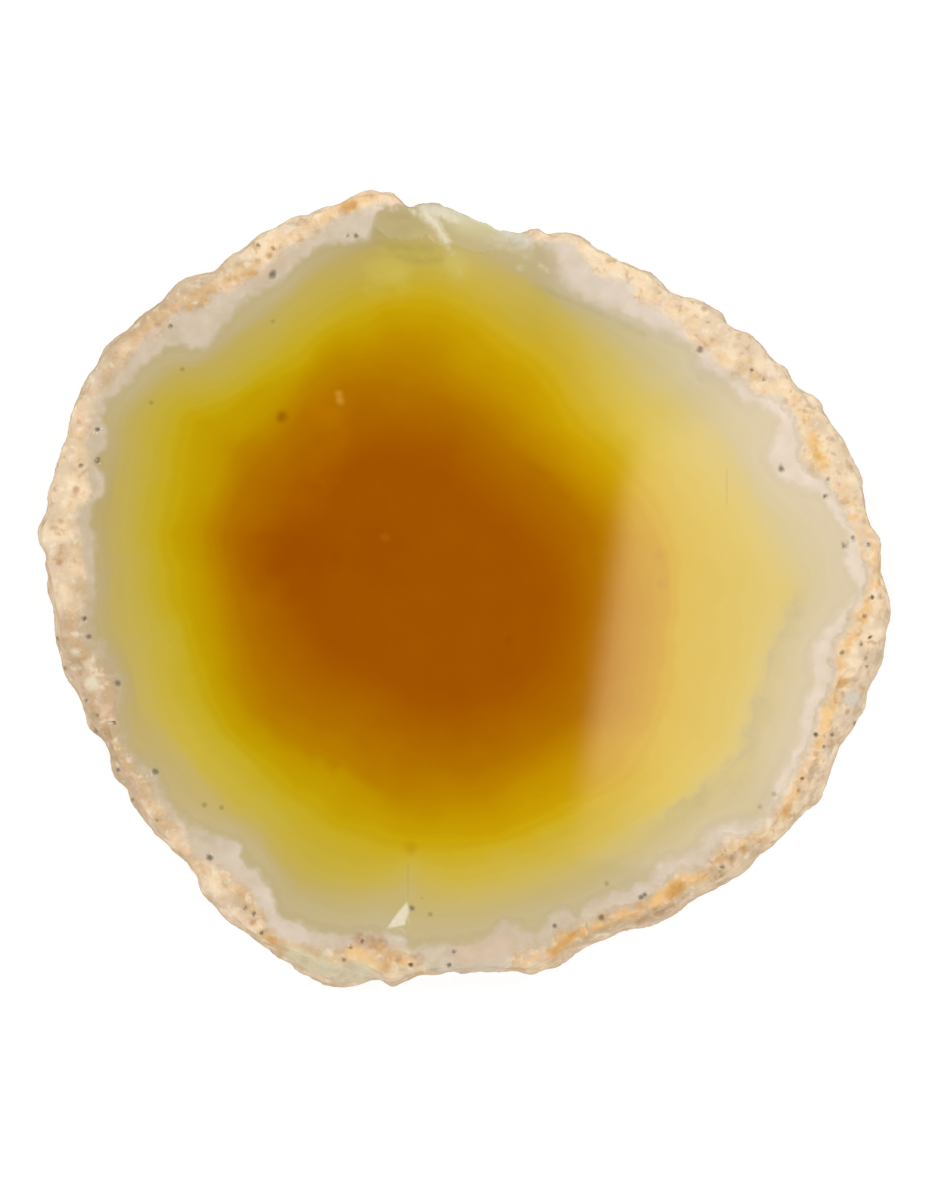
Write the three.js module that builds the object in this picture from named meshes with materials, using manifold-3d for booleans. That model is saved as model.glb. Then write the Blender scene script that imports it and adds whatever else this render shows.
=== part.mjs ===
import * as THREE from 'three';
import { mergeVertices } from 'three/addons/utils/BufferGeometryUtils.js';
import Module from 'manifold-3d';

const wasm = await Module();
wasm.setup();

// An agate slice: one piece of stone, sawn flat on both faces, with the rough skin of the nodule left all
// round. Millimetres, +Z up. The slice lies on its lower face, x runs to the right across the polished face
// and y up it, and the origin is on the lower face, in the middle of the slice's width and depth.

// Driving dimensions: the thickness between the sawn faces here, the outline of the rim and its lean below
const THICKNESS = 5;

// How finely the skin is drawn: stations round the rim, the neighbours on each side that set a station's
// outward direction, and the heights of the rings as shares of the thickness
const RIM_STATIONS = 300;
const NORMAL_REACH = 4;
const RING_HEIGHTS = [0, 0.1, 0.26, 0.42, 0.58, 0.74, 0.9, 1];
const FULL_TURN = 360;

// Lumps and grains of the skin, as depths below their crowns, which stand SKIN_SWELL out of the listed rim
const LUMP = { size: 2.8, depth: 0.7 };
const GRAIN = { size: 1.2, depth: 0.22 };
const SKIN_SWELL = 0.5;

// The share of that roughness left at the two sawn edges, and how far the rings between rise and fall
const EDGE_SHARE = 0.45;
const RING_WANDER = 0.35;

// Constants that scatter the noise, the same on every run
const NOISE_SEED = 17.3;
const NOISE_MIX = { x: 127.1, y: 311.7, z: 74.7 };
const NOISE_STRETCH = 43758.5453;

// The rim seen from above, counterclockwise from the widest point on the right
const RIGHT_FLANK = [
  [50.5, -3.0], [49.9, 0.0], [49.5, 4.0], [49.3, 6.3], [48.3, 8.0], [47.6, 11.5],
  [46.5, 14.2], [45.6, 16.0], [44.0, 19.4], [42.1, 22.1],
];
const RIGHT_SHOULDER = [
  [40.0, 23.6], [38.6, 24.8], [38.2, 26.4], [36.7, 27.4], [35.7, 29.0], [34.3, 30.1],
  [32.0, 30.9], [30.6, 32.6], [28.0, 33.9], [26.4, 34.4], [24.0, 35.7], [21.5, 37.7],
  [19.0, 38.8], [16.6, 39.9], [15.0, 41.1], [12.5, 41.9],
];
const TOP_EDGE = [
  [10.2, 42.0], [9.5, 42.5], [8.4, 42.6], [7.7, 42.2], [5.6, 42.4], [4.0, 43.0], [1.2, 44.4],
  [-0.6, 45.2], [-2.6, 45.5], [-4.6, 46.0], [-5.6, 45.8], [-6.4, 45.3], [-7.2, 46.0],
  [-8.1, 46.9], [-9.4, 47.1], [-11.2, 47.1], [-12.4, 46.7], [-13.8, 46.3],
];
const LEFT_SHOULDER = [
  [-16.0, 45.1], [-18.8, 44.4], [-24.0, 42.1], [-29.0, 38.0], [-30.5, 37.3], [-32.4, 36.8],
  [-35.0, 35.1], [-41.0, 30.0], [-42.8, 27.9], [-45.4, 24.0], [-46.5, 21.0],
];
const LEFT_FLANK = [
  [-47.1, 18.3], [-48.0, 16.0], [-49.1, 11.5], [-49.2, 9.0], [-50.1, 7.2], [-50.1, 5.4],
  [-49.5, 3.6], [-49.3, 0.5], [-48.4, -5.0], [-48.3, -7.2], [-47.8, -9.7],
];
const LOWER_LEFT = [
  [-46.3, -12.1], [-44.1, -16.8], [-42.9, -18.1], [-41.2, -22.5], [-39.9, -24.0],
  [-39.7, -25.2], [-38.3, -27.2], [-36.7, -29.1], [-34.3, -31.1], [-32.2, -33.5],
  [-31.2, -35.4], [-29.8, -37.5], [-27.6, -39.6],
];
const BOTTOM_EDGE = [
  [-25.2, -41.6], [-22.2, -43.7], [-16.3, -47.1], [-13.7, -47.2], [-11.1, -46.6],
  [-9.7, -46.6], [-8.3, -47.3], [-6.7, -46.6], [-4.4, -45.8], [0.0, -45.4], [6.5, -45.6],
  [7.7, -46.0], [9.3, -45.4], [12.5, -44.0], [15.1, -42.3],
];
const LOWER_RIGHT = [
  [18.6, -41.1], [22.2, -40.1], [25.0, -38.9], [27.2, -37.3], [31.2, -35.1], [32.8, -34.2],
  [36.3, -30.6], [38.1, -29.1], [39.2, -27.6], [42.4, -25.3], [43.0, -23.1], [44.5, -20.3],
  [45.3, -17.8], [47.7, -14.2], [48.2, -12.1], [49.5, -9.1], [50.3, -5.5],
];
const RIM = [
  ...RIGHT_FLANK, ...RIGHT_SHOULDER, ...TOP_EDGE, ...LEFT_SHOULDER,
  ...LEFT_FLANK, ...LOWER_LEFT, ...BOTTOM_EDGE, ...LOWER_RIGHT,
];

// How far the skin leans out past the polished face, as [degrees from +X, millimetres]
const LEAN = [
  [0, 0.6], [40, 0.5], [85, 0.4], [130, 0.5], [172, 0.4], [184, 0.9], [192, 1.8],
  [200, 1.3], [210, 1.5], [220, 0.8], [238, 1.0], [248, 2.2], [254, 2.8], [259, 1.2],
  [270, 0.7], [280, 1.1], [290, 2.0], [300, 2.4], [308, 2.4], [315, 2.8], [322, 2.0],
  [330, 2.8], [338, 2.7], [344, 3.2], [349, 2.4], [354, 1.0], [360, 0.6],
];

// Where the skin leans out a lot its widest line is low and it hardly tucks in below; where it stands
// upright the widest line is near mid height and the lower face is the smaller one
const BELLY = { upright: 0.62, perLean: 0.16, lowest: 0.16 };
const TUCK = { upright: 1.5, perLean: 0.42, least: 0.35 };
const SKIN_ROUNDNESS = 1.5;

// Conchoidal chips, each the bite of a flattened ball: middle, half sizes and a turn about Z in degrees
const TOP_SCOOP = [
  { at: [2.3, 46.8, 10.7], half: [9.8, 9, 9], turn: -18 },
  { at: [6.2, 44.6, 7.6], half: [4.6, 4.6, 4.2], turn: -18 },
];
const TOP_FLAKE = [
  { at: [-7.1, 43.2, 6.6], half: [5.2, 3.0, 2.2], turn: -6 },
  { at: [-3.6, 42.9, 6.4], half: [1.9, 4.0, 1.9], turn: 32 },
];
const FOOT_PATCH = [
  { at: [-8.1, -40.7, 6.2], half: [2.3, 1.4, 1.6], turn: -8 },
];
const CHIPS = [...TOP_SCOOP, ...TOP_FLAKE, ...FOOT_PATCH];
const CHIP_FACETS = 36;
const BALL_ROWS_PER_FACET = 0.7;

// The split at the foot, a three-sided wedge as [x, y, z] corners: three above the face and the deepest last
const FOOT_SPLIT = [[-6.5, -35.8, 5.4], [-10.2, -40.8, 5.4], [-6.4, -39.9, 5.4], [-6.9, -38.8, 4.2]];

// Nicks along the two sawn edges, as degrees from +X, each between the smallest and the largest half sizes
const NICK = { smallest: [0.8, 0.5, 0.4], largest: [2.4, 1.1, 0.9], facets: 12 };
const UPPER_NICKS = [28, 35, 54, 113, 127, 152, 190.5, 201, 209.5, 226, 289, 305, 313, 329, 344.5];
const LOWER_NICKS = [4, 41, 61, 118, 144, 182, 228, 268, 301];

// Pits in the polished face, as [x, y, radius], and their depth as a share of the radius
const PIT_DEPTH_SHARE = 0.9;
const PIT_FACETS = 8;
const PITS = [
  [-22.6, 37.2, 0.42], [-12.7, 41.7, 0.36], [-30.6, 34.1, 0.38], [-34.6, 31.0, 0.36],
  [27.9, 28.3, 0.42], [37.5, 14.2, 0.36], [44.7, -7.5, 0.34], [-40.9, -11.1, 0.36],
  [-36.4, -21.6, 0.38], [-30.0, -31.7, 0.36], [-6.1, -37.7, 0.34], [-1.1, -42.8, 0.32],
  [10.8, -39.8, 0.34], [21.2, -36.2, 0.40], [16.3, -38.8, 0.36], [-44.3, -5.6, 0.36],
  [-45.2, 14.6, 0.32],
];

// A smooth step from 0 to 1
function ease(share) {
  return share * share * (3 - 2 * share);
}

// A repeatable value from 0 to 1 for one corner of the noise lattice
function latticeValue(i, j, k) {
  const phase = i * NOISE_MIX.x + j * NOISE_MIX.y + k * NOISE_MIX.z + NOISE_SEED;
  const mixed = Math.sin(phase) * NOISE_STRETCH;
  return mixed - Math.floor(mixed);
}

// Smooth noise from 0 to 1 whose cells are `size` millimetres wide
function noise(point, size) {
  const scaled = point.map((value) => value / size);
  const cell = scaled.map(Math.floor);
  const [u, v, w] = scaled.map((value, axis) => ease(value - cell[axis]));
  let total = 0;
  for (const [di, weightX] of [[0, 1 - u], [1, u]]) {
    for (const [dj, weightY] of [[0, 1 - v], [1, v]]) {
      for (const [dk, weightZ] of [[0, 1 - w], [1, w]]) {
        total += weightX * weightY * weightZ * latticeValue(cell[0] + di, cell[1] + dj, cell[2] + dk);
      }
    }
  }
  return total;
}

// How deep the skin is cut back at a point: 0 on the crown of a lump, deepest in the creases between lumps
function skinDepth(point) {
  const lump = 1 - Math.abs(2 * noise(point, LUMP.size) - 1);
  const grain = 1 - Math.abs(2 * noise(point, GRAIN.size) - 1);
  return LUMP.depth * lump * lump + GRAIN.depth * grain;
}

// The lean of the skin at an angle, eased between the listed ones
function leanAt(angle) {
  const next = LEAN.findIndex(([listed]) => listed > angle);
  const [fromAngle, fromLean] = LEAN[next - 1];
  const [toAngle, toLean] = LEAN[next];
  return fromLean + (toLean - fromLean) * ease((angle - fromAngle) / (toAngle - fromAngle));
}

// Evenly spaced stations along the rim, each with its outward direction and its lean
function rimStations() {
  const corners = RIM.map(([x, y]) => new THREE.Vector3(x, y, 0));
  const curve = new THREE.CatmullRomCurve3(corners, true, 'centripetal');
  const points = curve.getSpacedPoints(RIM_STATIONS).slice(0, RIM_STATIONS);
  return points.map((point, index) => {
    const before = points[(index - NORMAL_REACH + RIM_STATIONS) % RIM_STATIONS];
    const after = points[(index + NORMAL_REACH) % RIM_STATIONS];
    const along = after.clone().sub(before).normalize();
    const angle = (THREE.MathUtils.radToDeg(Math.atan2(point.y, point.x)) + FULL_TURN) % FULL_TURN;
    return { x: point.x, y: point.y, outX: along.y, outY: -along.x, angle, lean: leanAt(angle) };
  });
}

// How far inside the widest line the skin lies at a height, given as a share of the thickness
function skinInset(station, height) {
  const belly = Math.max(BELLY.upright - BELLY.perLean * station.lean, BELLY.lowest);
  const tuck = Math.max(TUCK.upright - TUCK.perLean * station.lean, TUCK.least);
  if (height >= belly) {
    return station.lean * ((height - belly) / (1 - belly)) ** SKIN_ROUNDNESS;
  }
  return tuck * ((belly - height) / belly) ** SKIN_ROUNDNESS;
}

// The point of the skin at a station and a height
function skinPoint(station, height) {
  const onFace = height === 0 || height === 1;
  const smoothInset = skinInset(station, height);
  const level = height * THICKNESS;
  const probe = [station.x, station.y, level];
  const roughness = skinDepth(probe) * (onFace ? EDGE_SHARE : 1);
  const inset = smoothInset + roughness - SKIN_SWELL * (onFace ? EDGE_SHARE : 1);
  const wander = onFace ? 0 : RING_WANDER * (noise(probe, LUMP.size) - 0.5);
  return [station.x - station.outX * inset, station.y - station.outY * inset, level + wander];
}

// The triangles that close one sawn face, from the outline of its ring
function faceTriangles(ring) {
  const outline = ring.map(([x, y]) => new THREE.Vector2(x, y));
  return THREE.ShapeUtils.triangulateShape(outline, []);
}

// The whole slice before it was chipped: rings of skin between the two sawn faces
function wholeSlice(stations) {
  const rings = RING_HEIGHTS.map((height) => stations.map((station) => skinPoint(station, height)));
  const index = [];
  for (let level = 0; level < rings.length - 1; level += 1) {
    for (let i = 0; i < RIM_STATIONS; i += 1) {
      const next = (i + 1) % RIM_STATIONS;
      const low = level * RIM_STATIONS;
      const high = low + RIM_STATIONS;
      index.push(low + i, low + next, high + next);
      index.push(low + i, high + next, high + i);
    }
  }
  const top = (rings.length - 1) * RIM_STATIONS;
  for (const [a, b, c] of faceTriangles(rings[0])) {
    index.push(a, c, b);
  }
  for (const [a, b, c] of faceTriangles(rings[rings.length - 1])) {
    index.push(top + a, top + b, top + c);
  }
  const geometry = new THREE.BufferGeometry();
  geometry.setAttribute('position', new THREE.Float32BufferAttribute(rings.flat(2), 3));
  geometry.setIndex(index);
  return geometry;
}

// A flattened ball, the shape of every bite out of the stone
function bite(at, half, facets, turn = 0) {
  const ball = new THREE.SphereGeometry(1, facets, Math.round(facets * BALL_ROWS_PER_FACET));
  ball.scale(...half);
  ball.rotateZ(THREE.MathUtils.degToRad(turn));
  ball.translate(...at);
  return ball;
}

// A wedge with four corners, given with the deepest one last
function wedge([first, second, third, deepest]) {
  const geometry = new THREE.BufferGeometry();
  const corners = [...first, ...second, ...third, ...deepest];
  geometry.setAttribute('position', new THREE.Float32BufferAttribute(corners, 3));
  geometry.setIndex([0, 1, 2, 0, 3, 1, 1, 3, 2, 2, 3, 0]);
  return geometry;
}

// A nick in the upper edge (height 1) or the lower one (height 0), lying along the rim
function nickBite(stations, angle, height) {
  const station = stations.find((candidate) => candidate.angle >= angle);
  const share = latticeValue(angle, height, 0);
  const half = NICK.smallest.map((small, axis) => small + share * (NICK.largest[axis] - small));
  const alongRim = THREE.MathUtils.radToDeg(Math.atan2(station.outX, -station.outY));
  return bite(skinPoint(station, height), half, NICK.facets, alongRim);
}

// The bites of the large chips, the split, the nicks in both edges and the pits
function allBites(stations) {
  const inOrder = [...stations].sort((first, second) => first.angle - second.angle);
  const chips = CHIPS.map(({ at, half, turn }) => bite(at, half, CHIP_FACETS, turn));
  const upper = UPPER_NICKS.map((angle) => nickBite(inOrder, angle, 1));
  const lower = LOWER_NICKS.map((angle) => nickBite(inOrder, angle, 0));
  const pits = PITS.map(([x, y, r]) => bite([x, y, THICKNESS], [r, r, r * PIT_DEPTH_SHARE], PIT_FACETS));
  return [...chips, wedge(FOOT_SPLIT), ...upper, ...lower, ...pits];
}

// A closed mesh as a solid that can be cut
function solidFrom(geometry) {
  const bare = geometry.clone();
  bare.deleteAttribute('normal');
  bare.deleteAttribute('uv');
  const merged = mergeVertices(bare);
  return new wasm.Manifold(new wasm.Mesh({
    numProp: 3,
    vertProperties: Float32Array.from(merged.attributes.position.array),
    triVerts: Uint32Array.from(merged.index.array),
  }));
}

// A solid back as a mesh with flat facets
function geometryFrom(solid) {
  const mesh = solid.getMesh();
  const geometry = new THREE.BufferGeometry();
  geometry.setAttribute('position', new THREE.Float32BufferAttribute(mesh.vertProperties, 3));
  geometry.setIndex(new THREE.Uint32BufferAttribute(mesh.triVerts, 1));
  geometry.computeVertexNormals();
  return geometry;
}

// The slice as found: the whole one with every chip, nick and pit taken out
function agateSlice() {
  const stations = rimStations();
  let stone = solidFrom(wholeSlice(stations));
  for (const cut of allBites(stations)) {
    stone = stone.subtract(solidFrom(cut));
  }
  const polishedAgate = new THREE.MeshStandardMaterial({
    color: 0xc19618,
    roughness: 0.22,
    metalness: 0,
    flatShading: true,
  });
  const mesh = new THREE.Mesh(geometryFrom(stone), polishedAgate);
  mesh.name = 'agate_slice';
  return mesh;
}

const slice = new THREE.Group();
slice.add(agateSlice());

export default slice;
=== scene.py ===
import math

import bpy
import numpy as np
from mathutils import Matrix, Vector, noise
from mathutils.bvhtree import BVHTree


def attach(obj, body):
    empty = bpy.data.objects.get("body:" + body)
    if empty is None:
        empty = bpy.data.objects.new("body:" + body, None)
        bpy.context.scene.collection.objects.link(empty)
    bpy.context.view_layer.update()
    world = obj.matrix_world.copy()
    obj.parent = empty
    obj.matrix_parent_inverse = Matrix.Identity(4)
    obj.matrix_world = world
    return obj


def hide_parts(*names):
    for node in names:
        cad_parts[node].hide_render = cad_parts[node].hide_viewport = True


# A polished agate slice lying flat on a pale floor, seen straight from above.
# Lists of points are in millimetres from the middle of the slice, x to the right and y up its face.

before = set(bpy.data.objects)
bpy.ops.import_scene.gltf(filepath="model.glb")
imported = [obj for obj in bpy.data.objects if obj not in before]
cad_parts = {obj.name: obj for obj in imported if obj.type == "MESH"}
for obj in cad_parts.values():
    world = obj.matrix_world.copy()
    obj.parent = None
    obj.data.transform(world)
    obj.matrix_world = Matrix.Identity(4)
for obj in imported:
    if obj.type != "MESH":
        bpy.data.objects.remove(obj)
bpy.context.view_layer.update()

MM = 0.001
THICKNESS = 5.0

# Edges of the colour bands, from the dark core outwards
CORE_EDGE = [
    (-12, 18.7), (-2, 18.3), (0, 16.7), (4.7, 11.3), (8, 8.7), (11.3, 4.7), (13, 0), (12.3, -6.7),
    (10.7, -10.3), (6.7, -13.7), (1.3, -16), (-2, -16.3), (-6.7, -15), (-10.7, -13), (-17, -10.3),
    (-19.3, -7.3), (-22.7, -2), (-25, 2), (-25.3, 5.3), (-22.7, 8), (-20, 13.3), (-17.3, 15.7),
]
BROWN_EDGE = [
    (-12.7, 23.7), (-5.3, 23), (0, 20.7), (6, 16), (9.3, 14), (12, 10.7), (14.7, 7.3), (15.6, 2),
    (15.3, -3.3), (14.9, -8), (13.2, -15), (8, -17.7), (4, -19.7), (-2, -20.7), (-6, -20.3),
    (-10.7, -17.7), (-14.7, -16), (-19.3, -14.3), (-22.7, -11), (-25.3, -6.7), (-26.3, -1.3),
    (-27.9, 4.7), (-27.3, 8.7), (-25.3, 13), (-22, 16), (-18.7, 20.7), (-15.3, 22),
]
AMBER_EDGE = [
    (-16, 25.3), (-13.3, 26.3), (-7.3, 27.2), (-3, 25.7), (0, 23.3), (4, 21), (7.3, 17.3), (11.3, 13.7),
    (15.3, 10), (17, 7), (18, 2), (18, -5), (17.3, -10), (16, -15), (11.5, -18.5), (6, -22), (1.3, -24),
    (-2, -23.3), (-6, -24.3), (-9.3, -24), (-15.3, -20.7), (-22, -16.7), (-25.3, -13.3), (-27.7, -4.7),
    (-29.7, 4.7), (-29, 8.7), (-27.3, 13.3), (-26.3, 16.7), (-22, 19.3), (-18.7, 23.3),
]
HONEY_EDGE = [
    (-19.3, 24.7), (-15.3, 28.3), (-10.7, 29.3), (-6, 30.2), (-3, 29.3), (-0.7, 26.7), (3.3, 24.7),
    (6.7, 21.3), (10.7, 17.7), (14.7, 13.3), (18, 9.5), (20, 5), (20.6, 0), (20.8, -5), (20.3, -10),
    (19.3, -15), (14.5, -19.5), (9.5, -22.3), (6, -24.2), (2.7, -26), (-2.7, -26.7), (-8, -26),
    (-14, -21.7), (-18.7, -20), (-22.7, -17.3), (-26.7, -13.3), (-28.3, -8.7), (-30, -1.3), (-31.2, 4.7),
    (-31, 8), (-28.3, 13.3), (-28, 16.7), (-25.3, 18.3), (-22, 21.3),
]
GOLD_EDGE = [
    (-24.3, 23.7), (-19.3, 26), (-16.7, 29.3), (-12, 31), (-8.7, 33), (-3.3, 32.8), (0.7, 30.7),
    (4.7, 27.7), (8.7, 25), (10.7, 21.7), (12.5, 18.7), (16.8, 15), (21, 10), (24, 5), (24.6, 0),
    (24.2, -5), (23.6, -10), (22.2, -15), (20, -19), (17.5, -22), (12, -25.5), (6.7, -28), (3.3, -29),
    (-2, -29.3), (-6, -29.3), (-10.7, -27.7), (-14.7, -27.2), (-16.7, -24.7), (-20, -23.4), (-23.3, -20),
    (-27.3, -16.7), (-29.7, -12.7), (-30.4, -8.7), (-32.2, -4.7), (-32.8, 0), (-34.5, 6.7), (-32.7, 10),
    (-32, 18.7), (-28.7, 20.7),
]
YELLOW_EDGE = [
    (-9.3, 34.3), (-6, 35.3), (-1.3, 34.4), (2.7, 31.6), (6.7, 29.2), (11.3, 25.4), (14, 20.7),
    (20.5, 15), (23.5, 10), (25.2, 5), (25.8, 0), (25.2, -5), (25.2, -10), (24, -15), (22.5, -19),
    (21, -22), (14, -26), (8, -29), (0, -31.2), (-6, -31), (-10.4, -30.4), (-15, -29), (-18.4, -26.4),
    (-21, -24.6), (-25.4, -20.6), (-29.3, -16), (-31.3, -12.7), (-32.7, -8.7), (-33.2, -5), (-35, -2.2),
    (-36, 3.3), (-36.3, 6.7), (-35.7, 12), (-34.6, 17.3), (-33.4, 20.9), (-30, 22), (-26, 23.6),
    (-23.3, 26.3), (-20, 28.3), (-16.7, 30.9), (-13.3, 33),
]
LEMON_EDGE = [
    (-11, 36.6), (-6, 37.7), (-1, 37.2), (4, 35.3), (8.2, 33), (12.9, 29.8), (16.2, 24.6), (21.2, 18.9),
    (26, 15), (30, 10), (33, 5), (34.6, 0), (33.3, -5), (33, -10), (31.5, -15), (30, -19), (26.5, -22.5),
    (22, -26), (15, -30.4), (7, -33), (0, -34.4), (-4, -34.2), (-6, -33), (-8.5, -34.2), (-15.2, -34.1),
    (-20.3, -31.5), (-23.6, -27.6), (-28.4, -24), (-33, -19), (-36, -14), (-36.8, -8.5), (-38, -2),
    (-38.6, 2), (-39, 7), (-38.4, 13), (-37.4, 19), (-35, 23.2), (-30, 24.6), (-25.4, 27.2),
    (-21.5, 30.6), (-17, 34.4), (-13.5, 36),
]
KHAKI_EDGE = [
    (-12, 39.5), (-6, 40.8), (0, 39), (6.2, 36.8), (11.3, 33.5), (18, 27), (20.9, 24.2), (24.4, 21.2),
    (30.5, 16.4), (34.5, 9), (36.6, 4), (39, -0.2), (37.9, -3.2), (36.3, -6.8), (35, -9.5), (34.2, -12.6),
    (32.9, -16.3), (32, -19.2), (29, -22), (26.3, -24.2), (22.6, -26.8), (17, -30.6), (12, -33.2),
    (6, -35.5), (1, -36.5), (-4, -36.3), (-7, -34.8), (-9, -35.8), (-18, -35.2), (-22, -32),
    (-24.4, -28.4), (-28, -26), (-32, -21), (-35.4, -17), (-38, -14), (-39.2, -8.5), (-41.2, -4),
    (-41.2, 2), (-41.4, 9), (-40.4, 15), (-39.6, 20), (-37, 23), (-34, 25.6), (-31, 26.4), (-27, 29.5),
    (-22, 33), (-17, 37.2),
]
GREY_EDGE = [
    (-12, 40.2), (-8, 41.6), (-2, 41.6), (3, 39.6), (7, 37.6), (10, 34.9), (14, 33), (18, 31),
    (21.5, 29.2), (24.6, 26.2), (27.8, 22.4), (31.5, 19), (34, 13.6), (37.6, 8.6), (40.2, 5), (41.6, 1),
    (40.6, -3), (38.6, -8), (37.2, -13), (35.8, -18), (33.6, -22.6), (29.5, -25.8), (24, -29.4),
    (18.5, -33), (13, -35.6), (8, -37.2), (2, -38.8), (-4, -39.6), (-9, -38.8), (-15, -38.6),
    (-19.6, -36.8), (-22, -33.8), (-25, -30.2), (-28.6, -27.8), (-32.4, -25), (-35.2, -20.4),
    (-38.2, -16.6), (-39, -11.6), (-41, -6.8), (-42.4, -3), (-42.2, 2), (-42.5, 8), (-41.4, 12.6),
    (-41.2, 17.6), (-40.8, 21.4), (-38.4, 23.8), (-35, 26.8), (-31, 27.4), (-27.6, 30), (-23.4, 33.8),
    (-20, 36.4), (-16, 39),
]

# The scalloped edge where the lilac layer begins, clockwise from the left
LILAC_EDGE = [
    (-43.4, -2.2), (-42.9, 1), (-43.6, 3), (-43.2, 6), (-43.9, 9), (-42.5, 11), (-42.4, 13),
    (-43.3, 15.4), (-42, 16.7), (-42, 18.5), (-42.6, 20), (-42.1, 22), (-40.3, 23.3), (-39.5, 23.9),
    (-38.5, 25.6), (-36.8, 27.1), (-34.3, 28.6), (-31, 28.4), (-29.6, 29.1), (-27.8, 31.4), (-26.8, 32.9),
    (-24.5, 34.6), (-21.4, 36.2), (-20, 38.2), (-18.4, 39.2), (-15.5, 40.8), (-13.3, 40.9), (-11.2, 41.2),
    (-10.4, 42.6), (-10, 44.2), (-8.6, 45), (-6.6, 45.4), (-6, 48), (5, 47.6), (7.2, 43.6), (7.6, 41.2),
    (9.6, 40.4), (10.8, 38.4), (11.2, 36.6), (14, 34.4), (18, 32.6), (21, 31.4), (25.5, 29.3), (27, 28.4),
    (28, 25.7), (30, 25), (31, 24.4), (32.8, 22.4), (33.8, 21.8), (35.9, 21.2), (37, 20), (36.7, 18),
    (35.8, 16.2), (35.8, 15.3), (36.8, 13.7), (38.5, 12.2), (40.8, 11.5), (42.6, 10.6), (43.3, 9),
    (45.1, 6.5), (45, 3.5), (45.5, 1.5), (46.4, -0.3), (45, -2.2), (42.3, -5.2), (41.3, -7), (40.8, -9),
    (41.4, -11.2), (40.4, -13), (39.8, -15), (39.6, -17), (38.8, -19), (36.9, -22.4), (35.6, -25.8),
    (34.5, -27.2), (30.2, -27.7), (28.6, -28.6), (28, -30), (27, -31), (23.5, -32), (22.2, -33.6),
    (20.5, -34.8), (16, -36.4), (14.2, -37.4), (13.3, -38.6), (12.2, -37.9), (11.3, -37.9), (9.8, -39),
    (8.8, -40.4), (7.2, -40.2), (6, -39.2), (4.4, -39.5), (3.3, -40.6), (-0.3, -41.9), (-2.2, -41.6),
    (-6, -42.2), (-6.9, -41.4), (-9.2, -40.7), (-11, -40.1), (-12.9, -40.6), (-17.3, -40.3),
    (-19.3, -39.2), (-21, -38.7), (-22.1, -37), (-22.9, -35), (-24.2, -33.1), (-25.2, -32.7),
    (-26, -31.6), (-26.1, -30.2), (-28, -29.1), (-32, -27.8), (-33.5, -26.4), (-35, -24.5),
    (-36.8, -20.7), (-38.7, -19.6), (-39.7, -17.6), (-40.4, -14.3), (-40, -12), (-40.4, -10),
    (-42.4, -6.4), (-43.5, -5),
]

# The softer edge where the lilac layer turns into peach rind, clockwise from the left
RIND_EDGE = [
    (-45.2, -3), (-44.6, 0), (-45.2, 6), (-46, 8), (-45.3, 9.5), (-44.3, 11), (-44.4, 16.5), (-43.6, 22),
    (-41.8, 24.3), (-40.4, 26.3), (-37, 29.8), (-33.8, 32.2), (-31.5, 33), (-29.8, 34.3), (-25.8, 36.3),
    (-23, 38), (-20.8, 40.6), (-18.3, 41.2), (-16.5, 42.8), (-14.5, 43.9), (-12.3, 44.9), (-9.4, 45.4),
    (-7.4, 45.2), (-6.6, 46), (-7, 48.5), (5, 48), (7.4, 44), (7.6, 41.4), (8.6, 40.9), (10, 41.2),
    (12.5, 40.9), (13.5, 39.8), (15.5, 37.6), (19.4, 36.2), (20.7, 34), (23.5, 32.7), (25.5, 31),
    (26.8, 29.2), (28.6, 28), (32.4, 24.8), (34.8, 23.2), (37.3, 22.4), (39, 20.6), (39.8, 18),
    (39.7, 15.8), (41.2, 13.9), (43, 12.6), (44.3, 10.5), (45.3, 8.4), (46.6, 6.9), (47.3, 5), (47.5, 2),
    (47.2, -0.5), (45.2, -4.6), (44, -6.4), (43.5, -8.4), (44, -10.2), (43.2, -12), (41.6, -16),
    (41.2, -18), (39, -22), (36.8, -26), (35.6, -27.8), (33.8, -29), (31.3, -29.2), (28.8, -32.2),
    (26.8, -33.3), (25.4, -33.2), (22, -36), (20.2, -37.2), (17.5, -37.7), (13.3, -39.6), (11.2, -40.5),
    (10, -42), (7.6, -42.3), (6, -43.3), (4.3, -45.5), (0, -47), (-3.4, -45.4), (-5.4, -43.8),
    (-9.8, -41.5), (-12.5, -42), (-16, -42.6), (-20, -41.7), (-22.8, -39.9), (-24, -37.4), (-25.6, -35),
    (-28.4, -33), (-31.5, -31.5), (-32.4, -30), (-35.8, -25), (-37.3, -22.4), (-39, -20.2),
    (-40.5, -17.5), (-41.2, -14.5), (-41.2, -11.6), (-42.6, -9), (-44.3, -6.8), (-45.2, -4.5),
]
BAND_EDGES = [
    CORE_EDGE, BROWN_EDGE, AMBER_EDGE, HONEY_EDGE, GOLD_EDGE, YELLOW_EDGE, LEMON_EDGE, KHAKI_EDGE,
    GREY_EDGE, LILAC_EDGE,
]

# Conchoidal chips as flattened balls: middle, half sizes and a turn about Z in degrees.
# The margin is how many times a ball's size still counts as chipped.
CHIPS = [
    {"at": (2.3, 46.8, 10.7), "half": (9.8, 9, 9), "turn": -18},
    {"at": (6.2, 44.6, 7.6), "half": (4.6, 4.6, 4.2), "turn": -18},
    {"at": (-7.1, 43.2, 6.6), "half": (5.2, 3.0, 2.2), "turn": -6},
    {"at": (-3.6, 42.9, 6.4), "half": (1.9, 4.0, 1.9), "turn": 32},
    {"at": (-8.1, -40.7, 6.2), "half": (2.3, 1.4, 1.6), "turn": -8},
]
CHIP_MARGIN = 1.03

# The corners of the split at the foot, and how far beyond its sides the stone still counts as split
SPLIT_MARGIN = 0.15
FOOT_SPLIT = [(-6.65, -36.8), (-9.1, -40.1), (-6.9, -39.7), (-6.4, -38.2)]

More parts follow.
